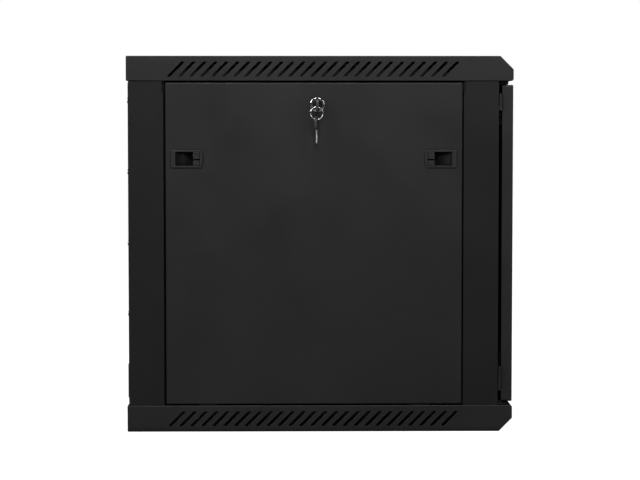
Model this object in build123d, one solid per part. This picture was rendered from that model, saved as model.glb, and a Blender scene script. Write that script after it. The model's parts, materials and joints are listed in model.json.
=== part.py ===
from build123d import *
import os
from math import cos, degrees, radians, sin

# A wall-mounted 12-unit network rack cabinet. Origin at the middle of the base plate's underside,
# +Z up, the glass door faces -Y, and the side with the keys is at -X. Millimetres throughout.

# Hole radii for the screws and bolts
M6_CLEARANCE_R = 3.3
M4_CLEARANCE_R = 2.2
PANEL_SCREW_R = 2.1
SMALL_SCREW_R = 1.9
SMALL_TAP_R = 1.65

# Overall size
WIDTH = 600.0
DEPTH = 652.0
HEIGHT = 635.0
FRONT = -DEPTH / 2
REAR = DEPTH / 2

# Top and bottom caps, folded from one sheet each
CAP_T = 1.2
TOP_CAP_Z = 593.0
BOTTOM_CAP_Z = 44.5
CAP_CHAMFER = 22.5
CAP_BEND = 1.5
CAP_NOSE_BEND = 4.0
CAP_FLANGE_SIDE = 30.0
CAP_FLANGE_FRONT = 26.0
CAP_FLANGE_REAR = 30.0
CAP_LIP = 22.0

# Slanted vent slots in the side skirts of both caps
VENT_COUNT = 26
VENT_PITCH = 18.45
VENT_WIDTH = 6.8
VENT_HEIGHT = 25.2
VENT_FIRST_Y = 257.9
VENT_CORNER = 1.2
VENT_CUT = 6.0
TOP_VENT_Z = 600.1
BOTTOM_VENT_Z = 9.5

# Fan grilles pressed in the top, for 120 mm fans
FAN_X = 95.0
FAN_Y = 10.0
FAN_HOLE_SPACING = 105.0
FAN_HOLE_R = M4_CLEARANCE_R
FAN_RING_STEP = 9.0
FAN_RING_COUNT = 5
FAN_SLOT_WIDTH = 5.0
FAN_SPOKE = 9.0
FAN_CUT = 8.0

# Cable entries in the top and bottom, each closed by an inner plate
ENTRY_X = 150.0
ENTRY_Y = (205.0, 275.0)
ENTRY_LAP = 14.0
ENTRY_SCREW_INSET = 7.0
ENTRY_SCREW_EDGE = 10.0

# Holes for levelling feet or castors in the base
FOOT_X = 240.0
FOOT_Y = 265.0
FOOT_HOLE_R = 5.25

# Corner posts
POST_T = 1.5
POST_X = 298.0
FRONT_POST_Y = (-302.0, -242.0)
REAR_POST_Y = (263.0, 322.6)
POST_FLANGE_X = 268.0
POST_PLATE_T = 2.0
POST_PLATE_X = 270.0
POST_BOLT_X = 284.0
POST_BOLT_STEP = 28.0
POST_NOTCH = (3.0, 19.0)
REBATE_X = 284.5
LIP_WIDTH = 14.0

# Side rails: inverted channels between the posts, under the caps' flanges
SIDE_RAIL_T = 1.5
SIDE_RAIL_LIP = 18.0
SIDE_RAIL_LEG = 30.0
SIDE_RAIL_LEG_X = 250.0
SIDE_RAIL_BOLT_X = 277.0
SIDE_RAIL_BOLT_Y = (-200.0, -90.0, 90.0, 200.0)
RAIL_SLOT_COUNT = 12
RAIL_SLOT_PITCH = 41.0
RAIL_SLOT = (28.0, 6.8)
RAIL_SLOT_Z = 17.5

# 19 inch rack rails with square holes
RACK_UNITS = 12
RACK_UNIT = 44.45
RACK_OPENING_X = 225.0
RACK_HOLE_X = 232.55
RACK_HOLE = 9.5
RACK_HOLE_OFFSETS = (6.35, 22.225, 38.1)
RACK_T = 2.0
RACK_DEPTH = 30.0
RACK_Z = (47.5, 590.0)
FRONT_RACK_Y = -250.0
REAR_RACK_Y = 190.0

# Lift-off side panels
PANEL_T = 1.2
PANEL_X = 299.0
PANEL_Y = (-240.0, 260.0)
PANEL_Z = (46.9, 590.3)
PANEL_DEPTH = 12.0
PANEL_BEND = 1.8
TAB_X = (294.9, 296.1)
TAB_Y = (-170.0, 190.0)
TAB_LENGTH = 30.0
TAB_BOTTOM = 40.5
TAB_SLOT_X = (292.9, 298.1)

# Slide latches: u runs from the latch's inner end towards the post
LATCH_Z = 462.2
LATCH_LENGTH = 54.0
LATCH_HEIGHT = 30.5
LATCH_BULGE = 3.0
LATCH_PROUD = 2.5
LATCH_INNER_Y = {"front": -176.5, "rear": 197.2}
LATCH_OUTWARD = {"front": -1, "rear": 1}
LATCH_WINDOW = ((3.0, 50.9), 13.2)
LATCH_BODY = ((3.2, 50.7), 13.0)
LATCH_BODY_BACK = 285.5
LATCH_MOUTH = ((4.6, 21.0), 11.8)
LATCH_MOUTH_FLOOR = 287.5
LATCH_RAMP_END = 46.4
LATCH_STEM_SLOT = ((9.1, 24.3), 3.2)
LATCH_PAD = ((5.2, 16.4), 11.4)
LATCH_PAD_T = 5.2
LATCH_PAD_SINK = 0.3
LATCH_PAD_SLOT = (-1.5, 1.35, 4.4)
LATCH_PAD_GROOVES = (4.6, 8.2)
LATCH_STEM = ((9.7, 15.7), 2.8)
LATCH_TONGUE = ((9.7, 49.5), 8.0)
LATCH_TONGUE_X = (281.9, 283.5)

# Cam locks: z runs outwards from the face that the lock is set in
LOCK_FLANGE_R = 12.45
LOCK_FLANGE_T = 1.8
LOCK_RECESS_R = 8.6
LOCK_OUTER_ROUND = 0.85
LOCK_INNER_ROUND = 0.7
LOCK_PLUG_FACE = 0.25
LOCK_BODY_R = 9.4
LOCK_PLUG_R = 7.8
LOCK_RUNNING = 0.05
LOCK_NUT_R = 13.0
LOCK_NUT_T = 4.0
LOCK_HOLE_R = 9.6
CAM_WIDTH = 16.0
CAM_LENGTH = 33.0
CAM_T = 2.0
CAM_SCREW = (4.5, 2.2)
PANEL_LOCK_Y = 4.4
PANEL_LOCK_Z = 553.2
PANEL_LOCK_BODY = 20.0
PANEL_CAM_CRANK = 6.0
KEYWAY = (2.6, 8.2, 20.0)
DOOR_LOCK_X = 256.0
DOOR_LOCK_Z = 318.4
DOOR_LOCK_BODY = 24.0
DOOR_FLANGE_T = 1.0

# Keys, each a steel blade in a plastic head, and their split ring
KEY_T = 2.0
KEY_HEAD = (22.5, 24.0)
KEY_HEAD_T = 4.6
KEY_HEAD_CORNER = 8.5
KEY_TANG = (12.0, 9.0)
KEY_SHOULDER = (2.5, 11.0)
KEY_BLADE = (20.5, 7.6)
KEY_TIP = 3.0
KEY_CUTS = (1.4, 2.2, 1.0, 1.9, 1.3)
KEY_CUT_START = 4.0
KEY_CUT_PITCH = 3.2
KEY_GROOVE_Y = (-0.9, 0.3)
KEY_GROOVE_DEPTH = 0.5
KEY_EYE = (4.6, 11.0)
KEY_EYE_INSET = 5.5
KEY_SEAT = 2.0
RING_R = 10.45
RING_WIRE_R = 0.9
RING_PLAY = 0.8
RING_SHIFT = 1.2
SPARE_TURN = 12.0

# Door
DOOR_T = 1.2
DOOR_X = 294.0
DOOR_Y = (-326.0, -307.5)
DOOR_Z = (50.3, 586.5)
DOOR_BEND = 1.6
DOOR_RETURN = 12.0
DOOR_HINGE_RETURN = 20.0
WINDOW_X = 228.0
WINDOW_Z = 205.0
WINDOW_CORNER = 6.0
SEAL_T = 1.5
SEAL_WIDTH = 9.0
GLASS_T = 4.0
GLASS_LAP = 10.0
CLIP_SIZE = (22.0, 30.0)
CLIP_T = 1.5
CLIP_REACH = 9.0
SIDE_CLIP_Z = (-140.0, -50.0, 50.0, 140.0)
END_CLIP_X = (-150.0, 0.0, 150.0)
BOSS_R = 4.0
SEAL_INSET = 0.6
BUMPER_R = 5.0
BUMPER_X = 286.0
BUMPER_Z = (115.0, 520.0)

# Draught strips along the gaps above and below the door
STRIP_X = 285.0
STRIP_Y = (-318.5, -304.0)
STRIP_CLEARANCE = 0.5

# Door hinges, with the pins in the gap between the front post and the door
PIN_X = -297.5
PIN_Y = -304.75
PIN_R = 1.5
KNUCKLE_R = 2.35
LEAF_T = 1.2
LEAF_END_X = -275.0
LOWER_HINGE_Z = (71.0, 84.0, 110.0)
UPPER_HINGE_Z = (545.0, 557.5, 572.0)
HINGE_GAP = 0.3
HINGE_SCREW_X = -284.0
HINGE_SCREW_INSET = 6.5

# Back panel
BACK_X = 290.0
BACK_Y = (322.6, 323.8)
BACK_Z = (48.0, 590.0)
BACK_CORNER = 3.0
BACK_SCREW_X = 279.0
BACK_SCREW_Z = (80.0, 200.0, 320.0, 440.0, 560.0)
WALL_HOLE_X = 225.0
WALL_HOLE_Z = (93.75, 543.75)
WALL_HOLE_R = 5.0
GROMMET_HOLE = ((-100.0, 100.0), (62.0, 112.0))
GROMMET_LAP = 4.0
GROMMET_Y = (319.9, 325.4)
GROMMET_CORNER = 10.0
EARTH_X = 250.0
EARTH_Z = 75.0
EARTH_R = 2.95

# Wall buffers on the posts' rear flanges, beside the back panel
BUFFER_X = (-297.5, -290.8)
BUFFER_Y = (322.6, 324.3)
BUFFER_Z = (58.0, 116.0)


def block(x, y, z):
    """A box that fills the spans x, y and z."""
    spans = [sorted(span) for span in (x, y, z)]
    middle = [(low + high) / 2 for low, high in spans]
    size = [high - low for low, high in spans]
    return Pos(*middle) * Box(*size)


def plane_from(start, end):
    """The plane at start that faces end."""
    return Plane(origin=start, z_dir=Vector(*end) - Vector(*start))


def rod(radius, start, end):
    """A round bar from start to end."""
    length = (Vector(*end) - Vector(*start)).length
    bar = Cylinder(radius, length, align=(Align.CENTER, Align.CENTER, Align.MIN))
    return plane_from(start, end) * bar


def hexagon(radius, start, end):
    """A six-sided bar from start to end, radius measured to its corners."""
    length = (Vector(*end) - Vector(*start)).length
    return extrude(plane_from(start, end) * RegularPolygon(radius, 6), amount=length)


def at(point, direction, distance):
    """The point that lies distance along direction from point."""
    return tuple(p + d * distance for p, d in zip(point, direction))


def bolt(point, direction, length, radius=2.95, head_r=5.0, head_t=3.0):
    """A hex socket bolt: its head's underside is at point and its shank runs along direction."""
    head = rod(head_r, point, at(point, direction, -head_t))
    circles = head.edges().filter_by(GeomType.CIRCLE)
    rim = circles.sort_by(lambda e: (e.center() - Vector(*point)).length)[-1]
    head = fillet(rim, head_t * 0.3)
    socket = hexagon(head_r * 0.5, at(point, direction, -head_t), at(point, direction, -head_t * 0.4))
    return head + rod(radius, point, at(point, direction, length)) - socket


def nut(point, direction, bore=3.0, corner=5.8, thick=4.0):
    """A hex nut whose near face is at point."""
    end = at(point, direction, thick)
    return hexagon(corner, point, end) - rod(bore, point, end)


def bolted(point, direction, grip):
    """A bolt and its nut, clamping sheets of total thickness grip."""
    return [bolt(point, direction, grip + 5.5), nut(at(point, direction, grip), direction)]


def right_hand(shape):
    """The mirrored piece for the cabinet's +X side."""
    return mirror(shape, about=Plane.YZ)


def rectangle_hole(x, y, z, corner, axis):
    """A rectangular cutter with four rounded corners along axis."""
    cutter = block(x, y, z)
    return fillet(cutter.edges().filter_by(axis), corner)


def save(node, *solids):
    """Write one named piece, or a group of like pieces, to its own file."""
    shape = solids[0] if len(solids) == 1 else Compound(children=list(solids))
    export_step(shape, os.path.join("parts", node + ".step"))


def cap_outline(z_open, z_face):
    """A cap's side outline: the closed face is chamfered at the front and the open side has a round nose."""
    step = CAP_CHAMFER if z_face < z_open else -CAP_CHAMFER
    corners = [
        (FRONT, z_open),
        (FRONT, z_face + step),
        (FRONT + CAP_CHAMFER, z_face),
        (REAR, z_face),
        (REAR, z_open),
    ]
    return make_face(Polyline(*corners, close=True))


def is_nose(vertex, z_open):
    """Whether an outline corner is the one at the front of the open side."""
    return abs(vertex.Y - z_open) < CAP_NOSE_BEND and vertex.X < FRONT + CAP_NOSE_BEND


def round_outline(face, z_open, nose, others):
    """Round the outline's nose by one radius and its other corners by another."""
    if others:
        face = fillet([v for v in face.vertices() if not is_nose(v, z_open)], others)
    return fillet([v for v in face.vertices() if is_nose(v, z_open)], nose)


def vent_cutters(z_low):
    """Slanted slots with level ends through both side skirts; their tops lean to the front."""
    corners = [
        (VENT_FIRST_Y, z_low),
        (VENT_FIRST_Y - VENT_WIDTH, z_low),
        (VENT_FIRST_Y - VENT_WIDTH - VENT_HEIGHT, z_low + VENT_HEIGHT),
        (VENT_FIRST_Y - VENT_HEIGHT, z_low + VENT_HEIGHT),
    ]
    outline = make_face(Polyline(*corners, close=True))
    outline = fillet(outline.vertices(), VENT_CORNER)
    slot = extrude(Plane.YZ.offset(-WIDTH / 2 - 1) * outline, amount=VENT_CUT)
    cutters = []
    for i in range(VENT_COUNT):
        cutter = Pos(0, -VENT_PITCH * i, 0) * slot
        cutters += [cutter, right_hand(cutter)]
    return cutters


def cap(z_open, z_face):
    """A folded cap: skirt, chamfered nose, return flange, and a lip turned up along the side flanges."""
    outer_face = round_outline(cap_outline(z_open, z_face), z_open, CAP_NOSE_BEND, CAP_BEND)
    outer = extrude(Plane.YZ * outer_face, amount=WIDTH / 2, both=True)
    ends = [e for e in outer.edges() if abs(abs(e.center().X) - WIDTH / 2) < 1e-3]
    outer = fillet(ends, CAP_BEND * 0.8)
    inner_face = offset(cap_outline(z_open, z_face), -CAP_T, kind=Kind.INTERSECTION)
    inner_face = round_outline(inner_face, z_open, CAP_NOSE_BEND - CAP_T, None)
    inner = extrude(Plane.YZ * inner_face, amount=WIDTH / 2 - CAP_T, both=True)
    inward = WIDTH / 2 - CAP_T - CAP_FLANGE_SIDE
    mouth = block(
        (-inward, inward),
        (FRONT + CAP_FLANGE_FRONT, REAR - CAP_FLANGE_REAR),
        (z_open - 2 * CAP_T, z_open + 2 * CAP_T),
    )
    into = 1 if z_face > z_open else -1
    lip = block(
        (inward, inward + CAP_T),
        (FRONT + CAP_FLANGE_FRONT, REAR - CAP_FLANGE_REAR),
        (z_open, z_open + into * CAP_LIP),
    )
    return outer - inner - mouth + lip + right_hand(lip)


def post_bolt_points(z):
    """Where the bolts pass between the posts and one cap."""
    points = []
    for side in (-1, 1):
        for low, high in (FRONT_POST_Y, REAR_POST_Y):
            middle = (low + high) / 2
            for step in (-POST_BOLT_STEP / 2, POST_BOLT_STEP / 2):
                points.append((side * POST_BOLT_X, middle + step, z))
    return points


def side_rail_bolt_points(z):
    """Where the bolts pass between the side rails and one cap."""
    return [(side * SIDE_RAIL_BOLT_X, y, z) for side in (-1, 1) for y in SIDE_RAIL_BOLT_Y]


def flange_holes(z):
    """Cutters for all bolts through a cap's return flange at height z."""
    points = post_bolt_points(z) + side_rail_bolt_points(z)
    return [rod(M6_CLEARANCE_R, (x, y, z - 4), (x, y, z + 4)) for x, y, z in points]


def entry_screw_points(z):
    """Where the cable entry's cover is screwed to its cap."""
    xs = (-ENTRY_X - ENTRY_SCREW_INSET, ENTRY_X + ENTRY_SCREW_INSET)
    ys = (ENTRY_Y[0] + ENTRY_SCREW_EDGE, ENTRY_Y[1] - ENTRY_SCREW_EDGE)
    return [(x, y, z) for x in xs for y in ys]


def entry_cutters(z):
    """The cable entry in a cap and its screw holes."""
    hole = rectangle_hole((-ENTRY_X, ENTRY_X), ENTRY_Y, (z - 4, z + 4), 8, Axis.Z)
    screws = [rod(M4_CLEARANCE_R, (x, y, z - 4), (x, y, z + 4)) for x, y, z in entry_screw_points(z)]
    return [hole] + screws


def fan_cutters():
    """Ring slots and screw holes of the two fan grilles."""
    bottom = HEIGHT - FAN_CUT
    top = HEIGHT + FAN_CUT
    half = FAN_HOLE_SPACING / 2
    cutters = []
    for x in (-FAN_X, FAN_X):
        for ring in range(FAN_RING_COUNT):
            radius = FAN_RING_STEP * (ring + 1) + FAN_SLOT_WIDTH
            gap = degrees((FAN_SPOKE + FAN_SLOT_WIDTH) / radius)
            for quarter in range(4):
                start = 90 * quarter + 45 + gap / 2
                arc = CenterArc((x, FAN_Y), radius, start, 90 - gap)
                slot = Pos(0, 0, bottom) * SlotArc(arc, FAN_SLOT_WIDTH)
                cutters.append(extrude(slot, amount=top - bottom))
        for hole_x in (x - half, x + half):
            for hole_y in (FAN_Y - half, FAN_Y + half):
                cutters.append(rod(FAN_HOLE_R, (hole_x, hole_y, bottom), (hole_x, hole_y, top)))
    return cutters


def tab_slots(z):
    """Slots in the bottom cap's flange for the side panels' hook tabs."""
    cutters = []
    for y in TAB_Y:
        left = block(
            (-TAB_SLOT_X[0], -TAB_SLOT_X[1]),
            (y - TAB_LENGTH / 2 - 1.5, y + TAB_LENGTH / 2 + 1.5),
            (z - 4, z + 4),
        )
        cutters += [left, right_hand(left)]
    return cutters


def top_cover():
    cover = cap(TOP_CAP_Z, HEIGHT)
    cover = cover - vent_cutters(TOP_VENT_Z)
    cover = cover - flange_holes(TOP_CAP_Z)
    return cover - entry_cutters(HEIGHT) - fan_cutters()


def bottom_cover():
    cover = cap(BOTTOM_CAP_Z, 0.0)
    cover = cover - vent_cutters(BOTTOM_VENT_Z)
    cover = cover - flange_holes(BOTTOM_CAP_Z) - tab_slots(BOTTOM_CAP_Z)
    feet = [rod(FOOT_HOLE_R, (x, y, -4), (x, y, 4)) for x in (-FOOT_X, FOOT_X) for y in (-FOOT_Y, FOOT_Y)]
    return cover - entry_cutters(0.0) - feet


def post(span_y, outer_y, z):
    """A left-hand post: side face, outer flange, rebate flange and the lip behind the side panel."""
    inner_y = span_y[0] if outer_y == span_y[1] else span_y[1]
    toward_panel = 1 if inner_y > outer_y else -1
    side = block((-POST_X, -POST_X + POST_T), span_y, z)
    outer = block((-POST_X, -POST_FLANGE_X), (outer_y, outer_y + toward_panel * POST_T), z)
    rebate = block((-POST_X, -REBATE_X), (inner_y - toward_panel * POST_T, inner_y), z)
    lip = block(
        (-REBATE_X - POST_T, -REBATE_X),
        (inner_y - toward_panel * POST_T, inner_y + toward_panel * LIP_WIDTH),
        z,
    )
    body = side + outer + rebate + lip
    bends = [e for e in body.edges().filter_by(Axis.Z) if abs(e.center().X + POST_X) < 1e-3]
    body = fillet(bends, POST_T * 0.9)
    plate_y = (outer_y + toward_panel * POST_T, inner_y - toward_panel * POST_T)
    for low, high in ((z[0], z[0] + POST_PLATE_T), (z[1] - POST_PLATE_T, z[1])):
        body += block((-POST_X + POST_T, -POST_PLATE_X), plate_y, (low, high))
    middle = (span_y[0] + span_y[1]) / 2
    for step in (-POST_BOLT_STEP / 2, POST_BOLT_STEP / 2):
        y = middle + step
        for end in z:
            body -= rod(M6_CLEARANCE_R, (-POST_BOLT_X, y, end - 5), (-POST_BOLT_X, y, end + 5))
    notch_y = (inner_y - toward_panel * POST_NOTCH[0], inner_y + toward_panel)
    return body - block((-POST_X - 1, -POST_X + POST_T), notch_y, (z[1] - POST_NOTCH[1], z[1] + 1))


def post_height():
    return (BOTTOM_CAP_Z, TOP_CAP_Z)


def hinge_screw_points():
    """Screws through the fixed hinge leaves, as (x, z)."""
    points = []
    for low, _, high in (LOWER_HINGE_Z, UPPER_HINGE_Z):
        points += [(HINGE_SCREW_X, low + HINGE_SCREW_INSET), (HINGE_SCREW_X, high - HINGE_SCREW_INSET)]
    return points


def front_post():
    body = post(FRONT_POST_Y, FRONT_POST_Y[0], post_height())
    for x, z in hinge_screw_points():
        body -= rod(SMALL_TAP_R, (x, FRONT_POST_Y[0] - 5, z), (x, FRONT_POST_Y[0] + 5, z))
    return body


def back_screw_points():
    """Screws that hold the back panel to the rear posts, as (x, z)."""
    return [(side * BACK_SCREW_X, z) for side in (-1, 1) for z in BACK_SCREW_Z]


def rear_post():
    body = post(REAR_POST_Y, REAR_POST_Y[1], post_height())
    for x, z in back_screw_points():
        body -= rod(PANEL_SCREW_R, (x, REAR_POST_Y[1] - 5, z), (x, REAR_POST_Y[1] + 5, z))
    return body


def side_rail(z_web, into):
    """A left-hand channel: web on the cap's flange, lip behind the panel and a slotted inner leg."""
    span_y = (FRONT_POST_Y[1], REAR_POST_Y[0])
    lip_y = (FRONT_POST_Y[1] + LIP_WIDTH, REAR_POST_Y[0] - LIP_WIDTH)
    web_z = (z_web, z_web + into * SIDE_RAIL_T)
    web = block((-REBATE_X - POST_T, -SIDE_RAIL_LEG_X), lip_y, web_z)
    web += block((-REBATE_X, -SIDE_RAIL_LEG_X), span_y, web_z)
    lip = block((-REBATE_X - POST_T, -REBATE_X), lip_y, (z_web, z_web + into * SIDE_RAIL_LIP))
    leg_x = (-SIDE_RAIL_LEG_X - SIDE_RAIL_T, -SIDE_RAIL_LEG_X)
    leg = block(leg_x, span_y, (z_web, z_web + into * SIDE_RAIL_LEG))
    rail = web + lip + leg
    for i in range(RAIL_SLOT_COUNT):
        y = rack_bolt_y()[0] + RAIL_SLOT_PITCH * i
        z = z_web + into * RAIL_SLOT_Z
        length, width = RAIL_SLOT
        slot = block(
            (leg_x[0] - 2, leg_x[1] + 2),
            (y - length / 2, y + length / 2),
            (z - width / 2, z + width / 2),
        )
        if y - length / 2 > span_y[0]:
            slot = fillet(slot.edges().filter_by(Axis.X), width * 0.49)
            rail -= slot
        else:
            rail -= rod(width / 2, (leg_x[0] - 2, y, z), (leg_x[1] + 2, y, z))
    for y in SIDE_RAIL_BOLT_Y:
        rail -= rod(M6_CLEARANCE_R, (-SIDE_RAIL_BOLT_X, y, z_web - 5), (-SIDE_RAIL_BOLT_X, y, z_web + 5))
    return rail


def rack_bolt_y():
    """Bolt positions of the front and rear rack rails along the side rails."""
    return (FRONT_RACK_Y + RACK_DEPTH / 2, REAR_RACK_Y - RACK_DEPTH / 2)


def rack_bolt_z():
    return (BOTTOM_CAP_Z + RAIL_SLOT_Z, TOP_CAP_Z - RAIL_SLOT_Z)


def rack_rail(y_face, back):
    """A left-hand angle rail with three square holes in every rack unit."""
    face_y = (y_face, y_face + back * RACK_T)
    face = block((-SIDE_RAIL_LEG_X, -RACK_OPENING_X), face_y, RACK_Z)
    leg = block((-SIDE_RAIL_LEG_X, -SIDE_RAIL_LEG_X + RACK_T), (y_face, y_face + back * RACK_DEPTH), RACK_Z)
    rail = face + leg
    first = (RACK_Z[0] + RACK_Z[1] - RACK_UNITS * RACK_UNIT) / 2
    cutters = []
    for unit in range(RACK_UNITS):
        for offset_z in RACK_HOLE_OFFSETS:
            z = first + unit * RACK_UNIT + offset_z
            cutters.append(
                block(
                    (-RACK_HOLE_X - RACK_HOLE / 2, -RACK_HOLE_X + RACK_HOLE / 2),
                    (y_face - 3, y_face + 3),
                    (z - RACK_HOLE / 2, z + RACK_HOLE / 2),
                )
            )
    y = y_face + back * RACK_DEPTH / 2
    for z in rack_bolt_z():
        cutters.append(rod(M6_CLEARANCE_R, (-SIDE_RAIL_LEG_X - 4, y, z), (-SIDE_RAIL_LEG_X + 4, y, z)))
    return rail - cutters


def latch_span(which, u):
    """The y span of a latch feature given along u."""
    start = LATCH_INNER_Y[which]
    return tuple(start + LATCH_OUTWARD[which] * value for value in u)


def latch_block(which, size, x, rise=0.0):
    """A block of the latch: size is its u span and half height, x its span in depth."""
    u, half = size
    return block((-x[0], -x[1]), latch_span(which, u), (LATCH_Z + rise - half, LATCH_Z + rise + half))


def latch_bezel(which):
    """The rim that lies on the panel, with a bowed inner end."""
    face = PANEL_X + LATCH_PROUD
    half = LATCH_HEIGHT / 2
    bow = (LATCH_BULGE**2 + half**2) / (2 * LATCH_BULGE)
    bow_y = latch_span(which, (bow, 0))[0]
    rim = latch_block(which, ((0.0, LATCH_LENGTH), half), (PANEL_X, face))
    rim &= rod(bow, (-PANEL_X + 1, bow_y, LATCH_Z), (-face - 1, bow_y, LATCH_Z))
    rim = fillet(rim.edges().filter_by(Axis.X), 1.6)
    return fillet(rim.faces().sort_by(Axis.X)[0].edges(), 0.9)


def latch_ramp(which):
    """The finger recess's curved end, which rises from its floor to the face at the post end."""
    face = PANEL_X + LATCH_PROUD
    depth = face - LATCH_MOUTH_FLOOR
    start = LATCH_MOUTH[0][1]
    half = LATCH_MOUTH[1]
    radius = ((LATCH_RAMP_END - start) ** 2 + depth**2) / (2 * depth)
    y = latch_span(which, (start, 0))[0]
    x = -(LATCH_MOUTH_FLOOR + radius)
    dish = rod(radius, (x, y, LATCH_Z - half), (x, y, LATCH_Z + half))
    return dish & latch_block(which, ((start, LATCH_RAMP_END + 1), half), (LATCH_MOUTH_FLOOR - 1, face + 1))


def latch_housing(which):
    """A plastic latch housing with a ramped finger recess."""
    face = PANEL_X + LATCH_PROUD
    housing = latch_bezel(which) + latch_block(which, LATCH_BODY, (LATCH_BODY_BACK, PANEL_X))
    mouth = latch_block(which, LATCH_MOUTH, (LATCH_MOUTH_FLOOR, face + 1))
    stem_slot = latch_block(which, LATCH_STEM_SLOT, (LATCH_BODY_BACK - 2, LATCH_MOUTH_FLOOR + 2))
    return housing - mouth - latch_ramp(which) - stem_slot


def latch_slider(which):
    """The sliding thumb pad, its stem and the tongue that goes behind the post's lip."""
    top = PANEL_X + LATCH_PROUD - LATCH_PAD_SINK
    pad = latch_block(which, LATCH_PAD, (top - LATCH_PAD_T, top))
    pad = fillet(pad.faces().sort_by(Axis.X)[0].edges(), 0.5)
    across = (LATCH_PAD[0][0] - 1, LATCH_PAD[0][1] + 1)
    rise, half, depth = LATCH_PAD_SLOT
    pad -= latch_block(which, (across, half), (top - depth, top + 1), rise)
    for rise in LATCH_PAD_GROOVES:
        pad -= latch_block(which, (across, 0.45), (top - 0.4, top + 1), rise)
    stem = latch_block(which, LATCH_STEM, (LATCH_TONGUE_X[1], top - LATCH_PAD_T))
    tongue = latch_block(which, LATCH_TONGUE, LATCH_TONGUE_X)
    tip_y = latch_span(which, (LATCH_TONGUE[0][1], 0))[0]
    tip = [e for e in tongue.edges().filter_by(Axis.X) if abs(e.center().Y - tip_y) < 1e-3]
    return pad + stem + fillet(tip, 3.0)


LEFT_LOCK = Plane(origin=(-PANEL_X, PANEL_LOCK_Y, PANEL_LOCK_Z), x_dir=(0, -1, 0), z_dir=(-1, 0, 0))
DOOR_LOCK = Plane(origin=(DOOR_LOCK_X, DOOR_Y[0], DOOR_LOCK_Z), x_dir=(1, 0, 0), z_dir=(0, -1, 0))


def side_panel():
    """The left side panel: a shallow tray with latch windows, a lock hole and bottom hook tabs."""
    back = PANEL_X - PANEL_DEPTH
    outer = block((-PANEL_X, -back), PANEL_Y, PANEL_Z)
    outer = fillet(outer.edges().filter_by(Axis.X), PANEL_BEND)
    outer = fillet(outer.faces().sort_by(Axis.X)[0].edges(), PANEL_BEND * 0.9)
    panel = outer - block(
        (-PANEL_X + PANEL_T, -back + 1),
        (PANEL_Y[0] + PANEL_T, PANEL_Y[1] - PANEL_T),
        (PANEL_Z[0] + PANEL_T, PANEL_Z[1] - PANEL_T),
    )
    for which in LATCH_INNER_Y:
        panel -= latch_block(which, LATCH_WINDOW, (PANEL_X - 4, PANEL_X + 4))
    for y in TAB_Y:
        span_y = (y - TAB_LENGTH / 2, y + TAB_LENGTH / 2)
        panel += block((-TAB_X[0], -TAB_X[1]), span_y, (TAB_BOTTOM, PANEL_Z[0] + PANEL_T))
    return panel - LEFT_LOCK * rod(LOCK_HOLE_R, (0, 0, -4), (0, 0, 4))


def lock_barrel(body_length, flange_t):
    """The chromed lock body: a domed flange with a recess, on a threaded barrel."""
    flange = rod(LOCK_FLANGE_R, (0, 0, 0), (0, 0, flange_t))
    rim = flange.edges().filter_by(GeomType.CIRCLE).sort_by(Axis.Z)[-1]
    flange = fillet(rim, flange_t * LOCK_OUTER_ROUND)
    flange -= rod(LOCK_RECESS_R, (0, 0, flange_t * 0.2), (0, 0, flange_t + 1))
    inner = [e for e in flange.edges().filter_by(GeomType.CIRCLE) if abs(e.center().Z - flange_t) < 1e-3]
    inner = [e for e in inner if abs(e.radius - LOCK_RECESS_R) < 1e-3]
    flange = fillet(inner, flange_t * LOCK_INNER_ROUND)
    body = rod(LOCK_BODY_R, (0, 0, -body_length), (0, 0, 0))
    return flange + body - rod(LOCK_PLUG_R + LOCK_RUNNING, (0, 0, -body_length - 1), (0, 0, flange_t + 1))


def lock_nut():
    """The hex nut that clamps the lock against its sheet."""
    return nut((0, 0, -PANEL_T), (0, 0, -1), LOCK_BODY_R + LOCK_RUNNING, LOCK_NUT_R, LOCK_NUT_T)


def lock_plug(body_length, flange_t):
    """The turning plug, with its keyway."""
    plug = rod(LOCK_PLUG_R, (0, 0, -body_length - CAM_T), (0, 0, flange_t * LOCK_PLUG_FACE))
    wide, tall, depth = KEYWAY
    return plug - block((-wide / 2, wide / 2), (-tall / 2, tall / 2), (-depth, flange_t + 1))


def lock_cam(body_length, turn, crank=0.0):
    """The cam arm on the plug's inner end, cranked towards the lock's face, with its screw."""
    seat = -body_length - CAM_T
    half = CAM_WIDTH / 2
    arm = block((-half, CAM_LENGTH), (-half, half), (seat - CAM_T, seat))
    if crank:
        step_x = LOCK_BODY_R + 2
        hub = block((-half, step_x + CAM_T), (-half, half), (seat - CAM_T, seat))
        riser = block((step_x, step_x + CAM_T), (-half, half), (seat - CAM_T, seat + crank))
        arm = hub + riser + block((step_x, CAM_LENGTH), (-half, half), (seat + crank - CAM_T, seat + crank))
    arm_ends = (-half, CAM_LENGTH)
    ends = [e for e in arm.edges().filter_by(Axis.Z) if min(abs(e.center().X - x) for x in arm_ends) < 1e-3]
    arm = fillet(ends, half * 0.9)
    corner, height = CAM_SCREW
    screw = hexagon(corner, (0, 0, seat - CAM_T), (0, 0, seat - CAM_T - height))
    return Rot(0, 0, turn) * (arm + screw)


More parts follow.
